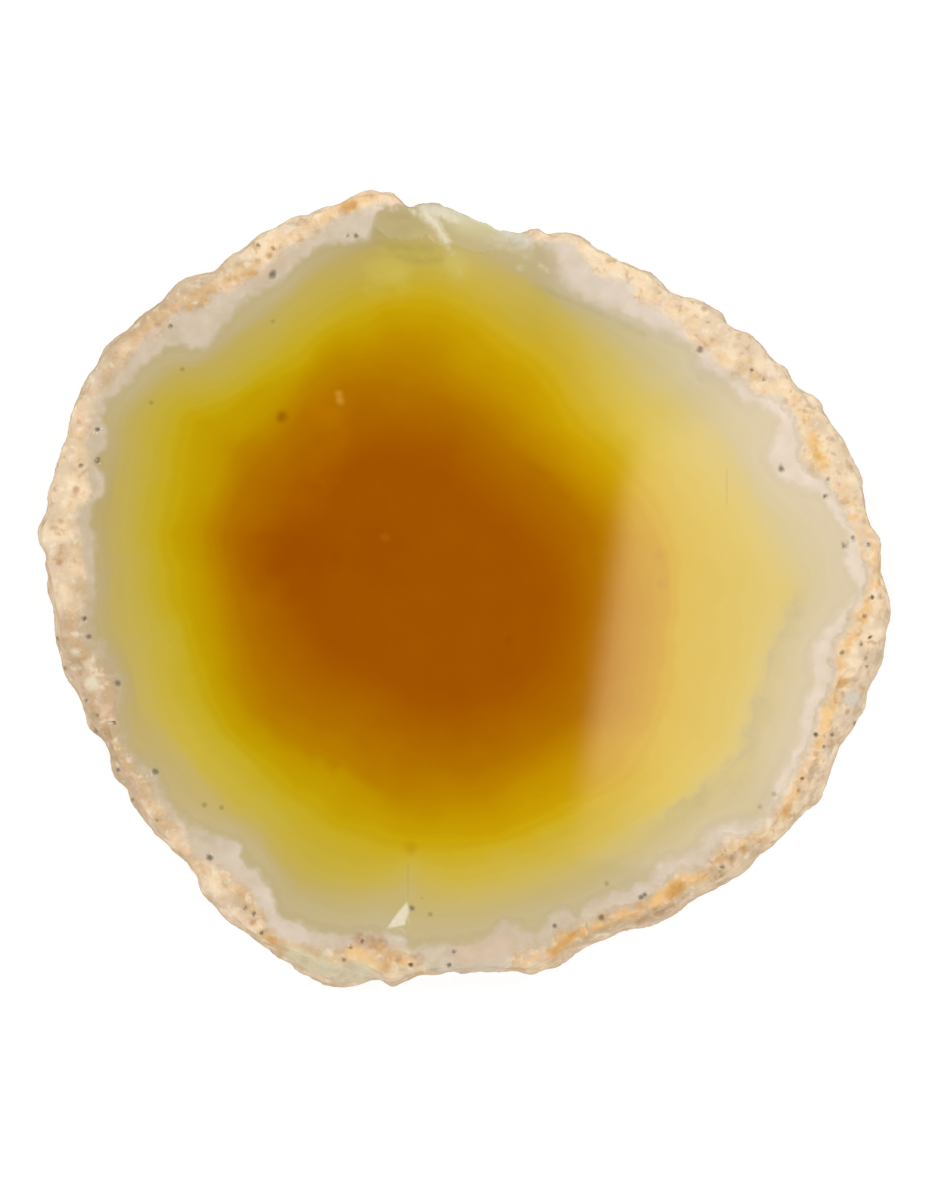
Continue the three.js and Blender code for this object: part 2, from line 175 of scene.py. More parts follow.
# How pale the lilac layer and the rind are round the slice, as degrees, lilac and rind
PALENESS = [
    (0, 0.74, 0.7), (15, 0.68, 0.6), (30, 0.7, 0.82), (45, 0.8, 0.6), (60, 0.95, 0.94), (75, 0.72, 0.85),
    (105, 0.62, 0.78), (120, 0.42, 0.66), (135, 0.55, 0.14), (150, 0.45, 0.38), (165, 0.34, 0.68),
    (180, 0.26, 0.44), (195, 0, 0), (210, 0.18, 0.1), (225, 0.5, 0.64), (240, 0.72, 0.36),
    (255, 0.46, 0.3), (270, 0.5, 0.4), (285, 0.48, 0.36), (300, 0.6, 0.16), (315, 0.62, 0.46),
    (330, 0.72, 0.7), (345, 0.64, 0.58), (360, 0.74, 0.7),
]

# How far the lilac layer's inner edge fades, as degrees and millimetres
LILAC_FADE = [
    (0, 0.8), (20, 0.8), (45, 1), (58, 1.5), (75, 1.5), (90, 0.6), (180, 0.5), (200, 0.9), (225, 0.5),
    (300, 0.5), (320, 0.9), (360, 0.8),
]

# How much greyer the outermost bands are, as degrees and share
BAND_GREYNESS = [
    (0, 0.15), (15, 0.1), (36, 0.1), (45, 0.3), (60, 0.2), (75, 0.1), (105, 0), (120, 0.35), (135, 0.25),
    (150, 0.35), (165, 0), (180, 0.12), (195, 0), (210, 0.05), (225, 0.3), (255, 0.3), (270, 0.1),
    (285, 0), (330, 0.05), (345, 0.1), (360, 0.15),
]

# How much brighter or darker the bands outside the gold are, as degrees and share
BAND_BRIGHTNESS = [
    (0, 0), (15, 0.03), (30, 0.03), (45, 0.11), (60, 0.01), (75, -0.08), (90, 0), (105, -0.06), (120, 0),
    (165, 0), (180, 0.01), (195, 0.05), (210, 0.1), (225, 0.06), (240, 0.01), (255, 0.03), (270, 0.04),
    (285, 0.01), (300, 0), (315, 0.07), (330, 0.01), (360, 0),
]

# How strongly an orange line follows the inner side of the rind, as degrees and strength
ORANGE_LINE = [
    (0, 0.9), (20, 0.6), (40, 0.35), (70, 0.2), (100, 0.5), (125, 0.5), (150, 0.25), (180, 0.2),
    (225, 0.35), (245, 0.5), (262, 0.7), (285, 0.7), (310, 0.8), (330, 0.7), (345, 0.8), (360, 0.9),
]

# Dark pits in the face and the rind, as x, y and radius, and the most radii away that are measured
FARTHEST_REACH = 4.0
DARK_PITS = [
    (-22.6, 37.2, 0.5), (-12.7, 41.7, 0.32), (-13.7, 41.7, 0.26), (-24.3, 40.7, 0.3), (-22.5, 40.2, 0.3),
    (-34.6, 31, 0.3), (27.9, 28.3, 0.42), (34, 25.9, 0.26), (35.5, 24.8, 0.26), (37.5, 14.2, 0.34),
    (43, 12.9, 0.28), (42.7, 11, 0.26), (45, 5.2, 0.3), (46, 6, 0.26), (47.8, 5.2, 0.3), (48.3, -1, 0.3),
    (47.4, -3.2, 0.3), (44.7, -7.5, 0.36), (48, -5.7, 0.28), (47, -6.5, 0.28), (47.5, -8.2, 0.28),
    (47.7, -9.2, 0.26), (-45.2, 14.6, 0.3), (-43.2, 18.8, 0.34), (-43.2, 15.2, 0.34), (-44.8, -3.5, 0.34),
    (-44.3, -5.6, 0.38), (-40.9, -11.1, 0.4), (-43.5, -16.8, 0.34), (-36.4, -21.6, 0.4),
    (-30, -31.7, 0.42), (-24.8, -38.3, 0.32), (-23.8, -40.6, 0.3), (-12, -41.6, 0.28),
    (-13.3, -42.3, 0.26), (-14.1, -43.8, 0.26), (-6.1, -37.7, 0.36), (-6.2, -44.4, 0.3),
    (-1.1, -42.8, 0.3), (-1.7, -44.4, 0.28), (10.8, -39.8, 0.32), (16.3, -38.8, 0.36),
    (21.4, -36.1, 0.34), (20.9, -36.4, 0.3), (30.6, -32.9, 0.34), (41.6, -17.2, 0.3), (42.6, -18.6, 0.26),
    (43.6, -17.2, 0.26), (40, -22.4, 0.26), (39.6, -23.8, 0.26), (46.4, -15.9, 0.3), (-48.1, -5.9, 0.3),
    (-47.2, -9.4, 0.3), (-44.6, -13.2, 0.24), (-43.2, -14.9, 0.24), (-41.2, -15.8, 0.24),
    (-40.9, -21.4, 0.3), (-39.2, -24.9, 0.3), (-36.2, -27.3, 0.24), (-25.7, -37.7, 0.26),
]

# Soft patches of another colour, each a stroke through points with a half width and a strength
PATCHES = {
    "ochre": [
        ([(-14, 45.2), (-13, 45.3)], 0.7, 1), ([(8.2, 41.8), (9.4, 41.7)], 0.4, 0.45),
        ([(-28, 36.4), (-24.6, 37.4)], 0.5, 0.8), ([(-30.9, 34.3), (-30.3, 33.9)], 0.35, 0.9),
        ([(-32.3, 33.1)], 0.4, 0.8), ([(-22.7, -41.4)], 0.7, 0.9), ([(42, 15.6), (41.4, 17.2)], 0.6, 0.7),
        ([(33.9, 27.2)], 0.5, 0.8), ([(44.6, -11)], 0.8, 0.62), ([(38.2, -26.4)], 0.8, 0.9),
        ([(33, -30.8)], 0.7, 0.7), ([(25.6, -35), (24.4, -36)], 0.7, 1), ([(20.8, -37.6)], 0.7, 0.7),
        ([(13, -41), (10.6, -42.8)], 0.7, 0.8), ([(-9.4, -45), (-8.4, -43.2)], 0.7, 0.7),
    ],
    "orange": [
        ([(43, -14.4), (42.9, -16)], 0.6, 0.95), ([(46, 8.5), (47.2, 4)], 0.4, 0.75),
        ([(41.2, 17.8), (42.6, 14.8)], 0.8, 0.8), ([(25.6, -34.8), (23, -36.8)], 1.1, 0.7),
        ([(20, -38.2), (12.5, -41.5)], 0.5, 0.65), ([(40.6, -21), (38.4, -25)], 0.3, 0.7),
        ([(-14.4, 45.2), (-11, 46.2)], 0.6, 0.6), ([(-13, -42.6), (-10, -44.4)], 1, 0.6),
    ],
    "umber": [
        ([(-7.6, -43.5), (-4.8, -43.3)], 0.8, 0.5), ([(7.9, 41.5), (9.4, 41.8)], 0.5, 0.4),
        ([(-12.2, -41.3), (-9.8, -42)], 1.2, 0.58), ([(31.8, -31.8)], 0.8, 0.7),
        ([(30.2, -33.8)], 0.6, 0.7), ([(37.4, -28.8)], 0.7, 0.6),
        ([(43.8, -17.2), (43.2, -19)], 0.4, 0.8), ([(24.5, -37.6), (20.4, -39.4)], 0.5, 0.75),
        ([(44.4, -11.6)], 0.5, 0.6), ([(43.6, 17.8)], 0.8, 0.5), ([(-30.9, 33.6)], 0.7, 0.5),
        ([(-36.4, 31.4)], 0.8, 0.4), ([(31.6, -35), (28.4, -36.8)], 0.8, 0.55),
        ([(26.8, -37.6)], 0.6, 0.45), ([(-48, -9.6), (-46.8, -13.4)], 0.8, 0.5),
        ([(-43.6, -16.4), (-42.4, -20)], 0.9, 0.36), ([(-35.4, 33.6), (-33.4, 32.4)], 0.8, 0.4),
        ([(-31.6, -36.6)], 0.9, 0.36), ([(39.6, -28.4)], 0.7, 0.4), ([(-6.4, -45)], 0.6, 0.36),
    ],
    "olive_and_shade": [
        # The first stroke is partly painted shade: it darkens the upper wall of the chipped hollow at the
        # top
        ([(-8.6, 44.1), (-5.8, 43.9)], 0.5, 0.75), ([(-10, 42), (-5, 43)], 1.4, 0.45),
        ([(-8.4, 40.4), (-4, 40.2)], 1, 0.62), ([(-10.2, 41), (-8.2, 40.8)], 0.2, 0.8),
        ([(-7.6, 39.2), (-5, 38.7), (-2.8, 38.9)], 0.3, 0.9),
        ([(8.6, 35.8), (15.6, 32.8), (21.4, 30)], 0.1, 0.85),
    ],
    "grey": [
        ([(46, -13)], 1.1, 1), ([(45, -15.2)], 0.5, 0.6), ([(42.9, -19.4)], 1.1, 0.5),
        ([(-9, -40.9), (-7, -41.4)], 0.6, 0.55), ([(-5, 45.2), (-1.2, 44.6)], 0.9, 0.7),
        ([(4.6, 42.4), (7.6, 40.9)], 0.9, 0.7), ([(-48.2, -4.8)], 0.6, 0.6),
        ([(-41, 28.6), (-46.4, 20)], 0.5, 0.5),
    ],
    "green": [
        ([(-20, -43.4), (-14.5, -45.4), (-11.5, -45.4)], 1.4, 0.68),
        ([(-21.5, -42.2), (-12, -44)], 0.7, 0.45), ([(-4.4, 45.2), (0, 44)], 0.9, 0.7),
        ([(0, 44.4), (4, 43), (7.4, 41.4)], 0.9, 0.6), ([(3.4, 41.4), (7.4, 39.8)], 1.2, 0.5),
        ([(-42.6, 26.8), (-44.4, 24.6)], 0.6, 0.5),
    ],
    "pink": [
        ([(0, -43.2), (5.4, -41.8)], 1.4, 0.58), ([(-10.6, -43), (-13, -42.2)], 0.9, 0.5),
        ([(-24, 36.6), (-20, 39.4)], 1, 0.5), ([(41, -21), (40.6, -24.6)], 1.2, 0.5),
        ([(10.4, 39.6), (12, 37.6)], 1, 0.4), ([(-41, -21), (-37, -27)], 0.9, 0.5),
        ([(-29, -36.4), (-27.4, -37.4)], 1, 0.5),
    ],
    "cream": [
        ([(-6.4, 45.4), (-5.8, 44.5)], 0.35, 0.9), ([(-4.6, 44.9), (-1.2, 44)], 0.8, 0.7),
        ([(-4.6, 44.4), (-3.2, 43.2)], 0.8, 0.85), ([(-3.2, 43.2), (-2, 41)], 0.6, 0.85),
        ([(-2, 41), (-1.4, 39.6)], 0.4, 0.65), ([(-1.4, 39.6), (-0.4, 37.4)], 0.3, 0.45),
        ([(6.65, 38)], 0.3, 0.9), ([(9, 38.3), (9.9, 37.6)], 0.25, 0.85), ([(-44.2, -9)], 1, 0.6),
        ([(-43.9, -11.2)], 0.9, 1), ([(-45.8, -7.5)], 0.7, 0.8),
        ([(-7.8, -46), (-4.4, -44.4), (-2.4, -42.2)], 0.4, 0.65),
        ([(-29, -33.5), (-24.6, -39), (-19, -42.2), (-14, -43)], 0.2, 0.5),
    ],
}
FAINT_SPOTS = [
    (-36.9, 22), (-33.2, 26), (-22.5, 31.6), (-30.6, -25.5), (-28.6, -25.8), (-12.2, -36), (-5, -36.3),
    (-3.9, -38.4), (35, -25.7), (36.7, -24.2), (16.9, -34.8),
]
FAINT_SPOT_RADIUS = 0.3
PATCH_SOFTNESS = {"olive_and_shade": 1.3, "cream": 0.6}
COMMON_SOFTNESS = 0.7

# Faint marks deep in the polished face, as x, y, radius, strength and colour
FACE_MARKS = [
    (-16.4, 20.4, 4.2, 0.4, (188, 119, 2)), (-16.6, 15.4, 4.4, 0.35, (177, 104, 2)),
    (-18.6, 10.6, 4, 0.35, (176, 100, 2)), (-19.4, 4, 7, 0.6, (152, 73, 0)),
    (-10, 4.4, 6, 0.4, (152, 73, 0)), (-21.4, 20.4, 1.1, 0.7, (136, 80, 8)),
    (23.1, 3.9, 1.2, 0.22, (176, 120, 40)), (23.4, 0.5, 1, 0.22, (176, 120, 40)),
    (-14.7, 23.1, 0.9, 0.7, (212, 154, 52)), (-14.6, 22.3, 0.9, 0.7, (212, 154, 52)),
    (-8.6, 37.2, 3.8, 0.5, (210, 191, 92)), (-0.8, 38.2, 2.6, 0.4, (209, 192, 108)),
    (-6.2, -30.6, 1.1, 0.5, (184, 136, 8)), (-9.2, 6, 0.9, 0.3, (186, 110, 20)),
    (5.4, -6, 0.8, 0.3, (140, 66, 0)),
]

# Hairlines that run up the face, as x, lower end, upper end and strength
HAIRLINES = [(31.1, 9.3, 14.8, 0.2), (-6.55, -37, -31.6, 0.15)]

# The mesh of the stone: stations round the rim, and rows from the middle of the top to that of the foot
STATIONS = 900
FAN_RAYS = 150
LEAST_FACE_RAYS = 12
INNER_ROWS = 28
LEDGE_ROWS = 22
FACE_EDGE_ROWS = 13
SKIN_ROWS = 24
FOOT_EDGE_ROWS = 5
FOOT_LEDGE_ROWS = 3
FOOT_INNER_ROWS = 7
LEDGE_DEPTH = 10.0
FAN_DEPTH = 4.5
FAR_OUT = 80
RIM_MARGIN = 0.3
RIM_HEIGHTS = 8
RIM_SMOOTHING = 12
FACE_TOLERANCE = 0.012
FLAKE_DEPTH = 0.75
FLAKE_GAP = 1.6
CHIP_SMOOTHING = 10
SKIN_SMOOTHING = 3

# How far into the core its colour still changes, in millimetres
CORE_FADE = 3.5

# Grains of the rough skin, ripples of the chips and depth of the pits, in millimetres
GRAIN_SIZE = 0.85
GRAIN_HEIGHT = 0.14
GRAIN_MIDDLE = 0.55
GRIT_SIZE = 0.35
GRIT_HEIGHT = 0.07
RIPPLE_SIZE = 0.8
RIPPLE_HEIGHT = 0.025
PIT_DEPTH = 0.3


def smooth_loop(points, steps=4):
    """A closed curve through the points."""
    corner = np.array(points, float)
    before, after, beyond = (np.roll(corner, shift, axis=0) for shift in (1, -1, -2))
    spans = []
    for t in np.arange(steps) / steps:
        slope = (after - before) * t
        square = (2 * before - 5 * corner + 4 * after - beyond) * t**2
        cube = (3 * corner - before - 3 * after + beyond) * t**3
        spans.append((2 * corner + slope + square + cube) / 2)
    return np.stack(spans, axis=1).reshape(-1, 2)


def gap_to_segment(spots, start, end):
    """Distance from each spot to the straight line between two points."""
    along = end - start
    offset = spots - start
    length_squared = max(float(along @ along), 1e-12)
    share = np.clip(offset @ along / length_squared, 0, 1)
    return np.linalg.norm(offset - share[:, None] * along, axis=1)


def depth_inside(spots, loop):
    """How far each spot lies inside a closed outline: negative outside it."""
    nearest = np.full(len(spots), np.inf)
    inside = np.zeros(len(spots), bool)
    for start, end in zip(loop, np.roll(loop, -1, axis=0)):
        nearest = np.minimum(nearest, gap_to_segment(spots, start, end))
        spans_height = (start[1] > spots[:, 1]) != (end[1] > spots[:, 1])
        if spans_height.any():
            share = (spots[:, 1] - start[1]) / (end[1] - start[1])
            inside ^= spans_height & (spots[:, 0] < start[0] + share * (end[0] - start[0]))
    return np.where(inside, nearest, -nearest)


def blur_round(values, width):
    """Values round a ring, averaged with their neighbours."""
    reach = np.arange(-3 * width, 3 * width + 1)
    weights = np.exp(-0.5 * (reach / width) ** 2)
    weights /= weights.sum()
    return sum(weight * np.roll(values, shift) for weight, shift in zip(weights, reach))


def even_steps(path, count):
    """Points at even distances along a path, with both its ends."""
    path = np.array(path)
    lengths = np.linalg.norm(np.diff(path, axis=0), axis=1)
    travelled = np.concatenate([[0], np.cumsum(lengths)])
    stops = np.linspace(0, travelled[-1], count + 1)
    return np.stack([np.interp(stops, travelled, path[:, axis]) for axis in (0, 1)], axis=1)


class Slab:
    """The modelled slice as something to measure, in millimetres, in upright planes through its middle."""

    def __init__(self, node):
        corners = [vertex.co / MM for vertex in node.data.vertices]
        faces = [tuple(face.vertices) for face in node.data.polygons]
        self.tree = BVHTree.FromPolygons(corners, faces)

    def hit(self, turn, start, way):
        """Where a ray meets the surface, as distance from the middle and height."""
        out = Vector((math.cos(turn), math.sin(turn), 0))
        up = Vector((0, 0, 1))
        origin = out * start[0] + up * start[1]
        place = self.tree.ray_cast(origin, out * way[0] + up * way[1])[0]
        if place is None:
            return None
        return (place.dot(out), place.z)

    def rim(self, turn):
        """The widest distance from the middle at one turn."""
        heights = np.linspace(RIM_MARGIN, THICKNESS - RIM_MARGIN, RIM_HEIGHTS)
        found = [self.hit(turn, (FAR_OUT, height), (-1, 0)) for height in heights]
        return max(place[0] for place in found if place)

    def height(self, turn, distance):
        """The height of the upper surface at a distance from the middle."""
        return self.hit(turn, (distance, 2 * THICKNESS), (0, -1))[1]


def fan(slab, turn, distance):
    """The outside of the slab seen from a point within it, from straight up round to straight down."""
    angles = np.linspace(math.pi / 2, -math.pi / 2, FAN_RAYS)
    centre = (distance, THICKNESS / 2)
    return [slab.hit(turn, centre, (math.cos(angle), math.sin(angle))) for angle in angles]


def face_rays(outside, depths):
    """The last of the fan's rays that meets the face, or a flake too thin to count as the skin."""
    first_deep = int(np.nonzero(depths > FLAKE_DEPTH)[0][0])
    on_face = np.nonzero(depths[:first_deep] < FACE_TOLERANCE)[0]
    last = int(on_face[-1]) if len(on_face) else 0
    gap = math.dist(outside[last], outside[first_deep])
    return max(last if gap < FLAKE_GAP else first_deep - 1, LEAST_FACE_RAYS)


def profile(slab, turn, rim):
    """One section of the stone from the middle of its face, over the rim, to the middle of its foot."""
    ledge = rim - LEDGE_DEPTH
    inner = rim - FAN_DEPTH
    outside = fan(slab, turn, inner)
    heights = np.array([place[1] for place in outside])
    face_end = face_rays(outside, THICKNESS - heights)
    foot_start = int(np.nonzero(heights < FACE_TOLERANCE)[0][0])
    face_radii = ledge * np.arange(1, INNER_ROWS) / INNER_ROWS
    foot_radii = ledge * np.arange(FOOT_INNER_ROWS - 1, 0, -1) / FOOT_INNER_ROWS
    ledge_radii = np.linspace(ledge, inner, LEDGE_ROWS, endpoint=False)
    foot_ledge_radii = np.linspace(inner, ledge, FOOT_LEDGE_ROWS + 1)[1:]
    return np.concatenate([
        [(radius, THICKNESS) for radius in face_radii],
        [(radius, slab.height(turn, radius)) for radius in ledge_radii],
        even_steps(outside[: face_end + 1], FACE_EDGE_ROWS)[:-1],
        even_steps(outside[face_end : foot_start + 1], SKIN_ROWS),
        even_steps(outside[foot_start:], FOOT_EDGE_ROWS)[1:],
        [(radius, 0) for radius in foot_ledge_radii],
        [(radius, 0) for radius in foot_radii],
    ])


def stone_points(slab):
    """Every point of the stone as rows by stations, without the two middles."""
    turns = np.arange(STATIONS) * 2 * math.pi / STATIONS
    rims = blur_round(np.array([slab.rim(turn) for turn in turns]), RIM_SMOOTHING)
    sections = np.array([profile(slab, turn, rim) for turn, rim in zip(turns, rims)])
    x = sections[:, :, 0] * np.cos(turns)[:, None]
    y = sections[:, :, 0] * np.sin(turns)[:, None]
    return np.stack([x, y, sections[:, :, 1]], axis=2).transpose(1, 0, 2)


def between_faces(level):
    """Which heights lie between the two sawn faces."""
    return (level < THICKNESS - FACE_TOLERANCE) & (level > FACE_TOLERANCE)


def soften_chips(grid):
    """Rounds the facets of the chips by moving their points towards their neighbours."""
    points = grid.reshape(-1, 3)
    chip = (in_chip(points) & between_faces(points[:, 2])).reshape(grid.shape[:2])
    for _ in range(CHIP_SMOOTHING):
        along = (np.roll(grid, 1, axis=1) + np.roll(grid, -1, axis=1)) / 2
        across = (np.roll(grid, 1, axis=0) + np.roll(grid, -1, axis=0)) / 2
        grid = np.where(chip[:, :, None], (along + across) / 2, grid)
    return grid


def soften_skin(grid):
    """Evens out the rough side between neighbouring stations, before its grains are raised."""
    side = between_faces(grid[:, :, 2:])
    for _ in range(SKIN_SMOOTHING):
        neighbours = (np.roll(grid, 1, axis=1) + np.roll(grid, -1, axis=1)) / 2
        grid = np.where(side, (grid + neighbours) / 2, grid)
    return grid


def stone_faces(rows):
    """The faces between neighbouring rows, and the two fans that close the middles."""
    here = np.arange(STATIONS)
    following = (here + 1) % STATIONS
    foot_middle = rows * STATIONS + 1
    faces = []
    for row in range(rows - 1):
        near, far = 1 + row * STATIONS, 1 + (row + 1) * STATIONS
        faces += np.stack([near + here, far + here, far + following, near + following], axis=1).tolist()
    last = 1 + (rows - 1) * STATIONS
    faces += [[0, 1 + a, 1 + b] for a, b in zip(here, following)]
    faces += [[foot_middle, last + b, last + a] for a, b in zip(here, following)]
    return faces


def in_chip(points):
    """Which points lie on the broken surface of a chip."""
    found = np.zeros(len(points), bool)
    for chip in CHIPS:
        turn = math.radians(chip["turn"])
        x, y, z = (points - np.array(chip["at"])).T
        along = x * math.cos(turn) + y * math.sin(turn)
        across = y * math.cos(turn) - x * math.sin(turn)
        half = chip["half"]
        reach = np.sqrt((along / half[0]) ** 2 + (across / half[1]) ** 2 + (z / half[2]) ** 2)
        found |= reach < CHIP_MARGIN
    return found


def in_split(points):
    """Which points lie in the split at the foot of the slice."""
    corners = np.array(FOOT_SPLIT)
    sides = []
    for start, end in zip(corners, np.roll(corners, -1, axis=0)):
        x, y = (points[:, :2] - start).T
        sides.append(x * (end - start)[1] - y * (end - start)[0])
    return (np.array(sides) <= SPLIT_MARGIN).all(axis=0)


def pit_reach(spots, pits):
    """Distance to the nearest pit, as a multiple of its radius."""
    nearest = np.full(len(spots), FARTHEST_REACH)
    for x, y, radius in pits:
        nearest = np.minimum(nearest, np.linalg.norm(spots - (x, y), axis=1) / radius)
    return nearest


def patch_strength(spots, patches, softness):
    """How strongly the nearest of the patches colours each spot, from 0 to 1."""
    strength = np.zeros(len(spots))
    for points, half_width, amount in patches:
        path = np.array(points, float)
        if len(path) == 1:
            path = np.repeat(path, 2, axis=0)
        gaps = [gap_to_segment(spots, start, end) for start, end in zip(path[:-1], path[1:])]
        edge = np.min(gaps, axis=0) - half_width
        strength = np.maximum(strength, amount * np.clip(0.5 - edge / (2 * softness), 0, 1))
    return strength


def band_position(spots):
    """Which colour band each spot lies in: 0 deep in the core, 1 on its edge, and so on outwards."""
    depths = np.array([depth_inside(spots, smooth_loop(edge)) for edge in BAND_EDGES])
    core_share = 1 - np.clip(depths[0] / CORE_FADE, 0, 1)
    position = core_share.copy()
    for number in range(len(depths) - 1):
        out = np.clip(-depths[number], 0, None)
        left = np.clip(depths[number + 1], 0, None)
        between = out / np.maximum(out + left, 1e-6)
        position = np.where(out > 0, number + 1 + between, position)
    return position, depths[-1]


def round_values(spots):
    """What changes with the angle round the slice, at each spot."""
    angles = np.degrees(np.arctan2(spots[:, 1], spots[:, 0])) % 360
    columns = {
        "lilac_pale": [(angle, lilac) for angle, lilac, _ in PALENESS],
        "rind_pale": [(angle, rind) for angle, _, rind in PALENESS],
        "lilac_fade": LILAC_FADE,
        "band_grey": BAND_GREYNESS,
        "band_bright": BAND_BRIGHTNESS,
        "orange_line": ORANGE_LINE,
    }
    return {name: np.interp(angles, *zip(*listed)) for name, listed in columns.items()}


def roughen(mesh, points, rough, chip, pits):
    """Raises the grains of the skin, ripples the chips and sinks the pits."""
    normals = np.zeros(len(points) * 3)
    mesh.vertex_normals.foreach_get("vector", normals)
    normals = normals.reshape(-1, 3)
    raised = np.zeros(len(points))
    for index in np.nonzero(rough)[0]:
        place = Vector(points[index])
        grain = GRAIN_MIDDLE - noise.voronoi(place / GRAIN_SIZE)[0][0]
        grit = noise.noise(place / GRIT_SIZE)
        if chip[index]:
            raised[index] = RIPPLE_HEIGHT * noise.noise(place / RIPPLE_SIZE)
        else:
            raised[index] = GRAIN_HEIGHT * grain + GRIT_HEIGHT * grit
    moved = points + normals * raised[:, None]
    on_face = points[:, 2] > THICKNESS - FACE_TOLERANCE
    sunk = PIT_DEPTH * np.clip(1 - pits**2, 0, 1) * on_face
    moved[:, 2] = np.clip(moved[:, 2] - sunk, 0, THICKNESS)
    return moved


def new_object(name, data):
    """An object in the scene."""
    made = bpy.data.objects.new(name, data)
    bpy.context.scene.collection.objects.link(made)
    return made


def flat_sheet(name, corners, material):
    """A sheet between four corners, given in metres."""
    mesh = bpy.data.meshes.new(name)
    mesh.from_pydata(corners, [], [(0, 1, 2, 3)])
    mesh.materials.append(material)
    return new_object(name, mesh)


def stone_mesh():
    """The slice as one fine mesh, still without grains and pits, and its points in millimetres."""
    slab = Slab(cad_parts["agate_slice"])
    grid = soften_skin(soften_chips(stone_points(slab)))
    points = np.concatenate([[(0, 0, THICKNESS)], grid.reshape(-1, 3), [(0, 0, 0)]])
    mesh = bpy.data.meshes.new("agate_stone")
    mesh.from_pydata((points * MM).tolist(), [], stone_faces(len(grid)))
    return mesh, points


def add_values(mesh, points, sawn, chip, pits):
    """Stores what the material needs to know at each vertex."""
    spots = points[:, :2]
    bands, lilac_depth = band_position(spots)
    values = {
        "band": bands,
        "lilac_depth": lilac_depth,
        "rind_depth": depth_inside(spots, smooth_loop(RIND_EDGE)),
        "split_depth": depth_inside(spots, np.array(FOOT_SPLIT)),
        **round_values(spots),
        "sawn": sawn,
        "chip": chip,
        "chip_depth": np.where(chip, THICKNESS - points[:, 2], 0),
        "pit_reach": pits,
        "faint_reach": pit_reach(spots, [(x, y, FAINT_SPOT_RADIUS) for x, y in FAINT_SPOTS]),
    }
    for name, patches in PATCHES.items():
        values[name] = patch_strength(spots, patches, PATCH_SOFTNESS.get(name, COMMON_SOFTNESS))
    for name, listed in values.items():
        layer = mesh.attributes.new(name, "FLOAT", "POINT")
        layer.data.foreach_set("value", np.asarray(listed, np.float32))


def agate_stone():
    """The slice with its grains, ripples and pits."""
    mesh, points = stone_mesh()
    sawn = ~between_faces(points[:, 2])
    chip = ~sawn & (in_chip(points) | in_split(points))
    pits = pit_reach(points[:, :2], DARK_PITS)
    moved = roughen(mesh, points, ~sawn, chip, pits)
    mesh.vertices.foreach_set("co", (moved * MM).ravel())
    add_values(mesh, points, sawn, chip, pits)
    smooth = [not sawn[list(face.vertices)].all() for face in mesh.polygons]
    mesh.polygons.foreach_set("use_smooth", smooth)
    mesh.update()
    return new_object("agate_stone", mesh)


def shade(red, green, blue):
    """A colour as it looks on a screen, each part out of 255, turned into what a material takes."""
    linear = []
    for value in (red / 255, green / 255, blue / 255):
        linear.append(value / 12.92 if value <= 0.04045 else ((value + 0.055) / 1.055) ** 2.4)
    return (*linear, 1.0)


# The bands from the core outwards, as they look on the left and on the right of the face; the right-hand
# ones are partly painted light
LEFT_BANDS = [
    (157, 78, 0), (166, 94, 0), (174, 110, 1), (181, 126, 1), (186, 142, 1), (192, 157, 3), (194, 167, 24),
    (192, 170, 70), (190, 168, 94), (184, 162, 98), (185, 165, 114),
]
RIGHT_BANDS_AND_PAINTED_LIGHT = [
    (160, 82, 0), (167, 94, 0), (175, 109, 0), (185, 126, 0), (195, 143, 1), (205, 160, 3), (207, 172, 24),
    (208, 181, 74), (204, 182, 100), (197, 179, 128), (202, 185, 152),
]
GREY_BAND = shade(204, 194, 168)
PALE_RIND = shade(243, 218, 181)
DULL_RIND = shade(190, 163, 126)
RIND_ORANGE = shade(232, 184, 116)
RIND_CREAM = shade(246, 232, 206)
RIND_PINK = shade(220, 188, 164)
OUTER_RIND = shade(222, 196, 166)
SIDE_SHADE_BROWN = shade(176, 154, 126)
# Painted shade for the steep sides of the skin
TAN = shade(196, 156, 110)
BROWN_SKIN = shade(158, 126, 88)
SPECK_BROWN = shade(176, 122, 74)
PALE_LILAC = shade(226, 210, 193)
DULL_LILAC = shade(188, 168, 132)
EDGE_GREY = shade(184, 166, 120)
CHIP_PALE = shade(214, 205, 160)
CREAM = shade(227, 216, 186)
PIT_GREY = shade(98, 90, 66)
FAINT_OLIVE = shade(140, 122, 56)

# The patches' colours, in the order in which they lie over one another, and how ragged their edges are
PATCH_TINTS = {
    "pink": (shade(214, 182, 152), 0.8),
    "green": (shade(210, 205, 171), 0.8),
    # Olive, and painted shade in the chipped hollow at the top
    "olive_and_shade": (shade(160, 148, 78), 0.3),
    "orange": (shade(240, 194, 120), 0.9),
    "umber": (shade(172, 126, 78), 0.9),
    "ochre": (shade(206, 150, 66), 0.9),
    "grey": (shade(214, 207, 190), 0.8),
    "cream": (CREAM, 1.0),
}

# Noises in the stone, as size in millimetres, detail and roughness
BAND_NOISE = (4, 3, 0.6)
PATCHY = (3, 3)
MOTTLED = (1.9, 3, 0.6)
BROKEN = (1.6, 3, 0.6)
GRAINY = (1.1, 2)
FINE = (0.8, 3)
CLOUDY = (2.2, 3)
RAGGED = (1, 4, 0.6)
GRIMY = (2, 3, 0.55)
SKIN_GRAINS = (0.5, 4, 0.6)
SOFT_NOISE = 2.6
SEAM_NOISE = 2.4
SEAM_BREAK_NOISE = 3
SCALLOP_SIZE = 1.5
SCALLOP_MIDDLE = 0.4
SPECK_SIZE = 1.9

# How far those noises shift an edge, in band widths, millimetres or shares of a radius
BAND_DRIFT = 0.7
SEAM_DRIFT = 1.3
MARK_DRIFT = 1.3
SCALLOP_DEPTH = 0.9
LILAC_RAGGEDNESS = 0.7
RIND_RAGGEDNESS = 1.4
RIND_WANDER = 1.6
OUTER_RIND_WANDER = 4
PIT_RAGGEDNESS = 1.4

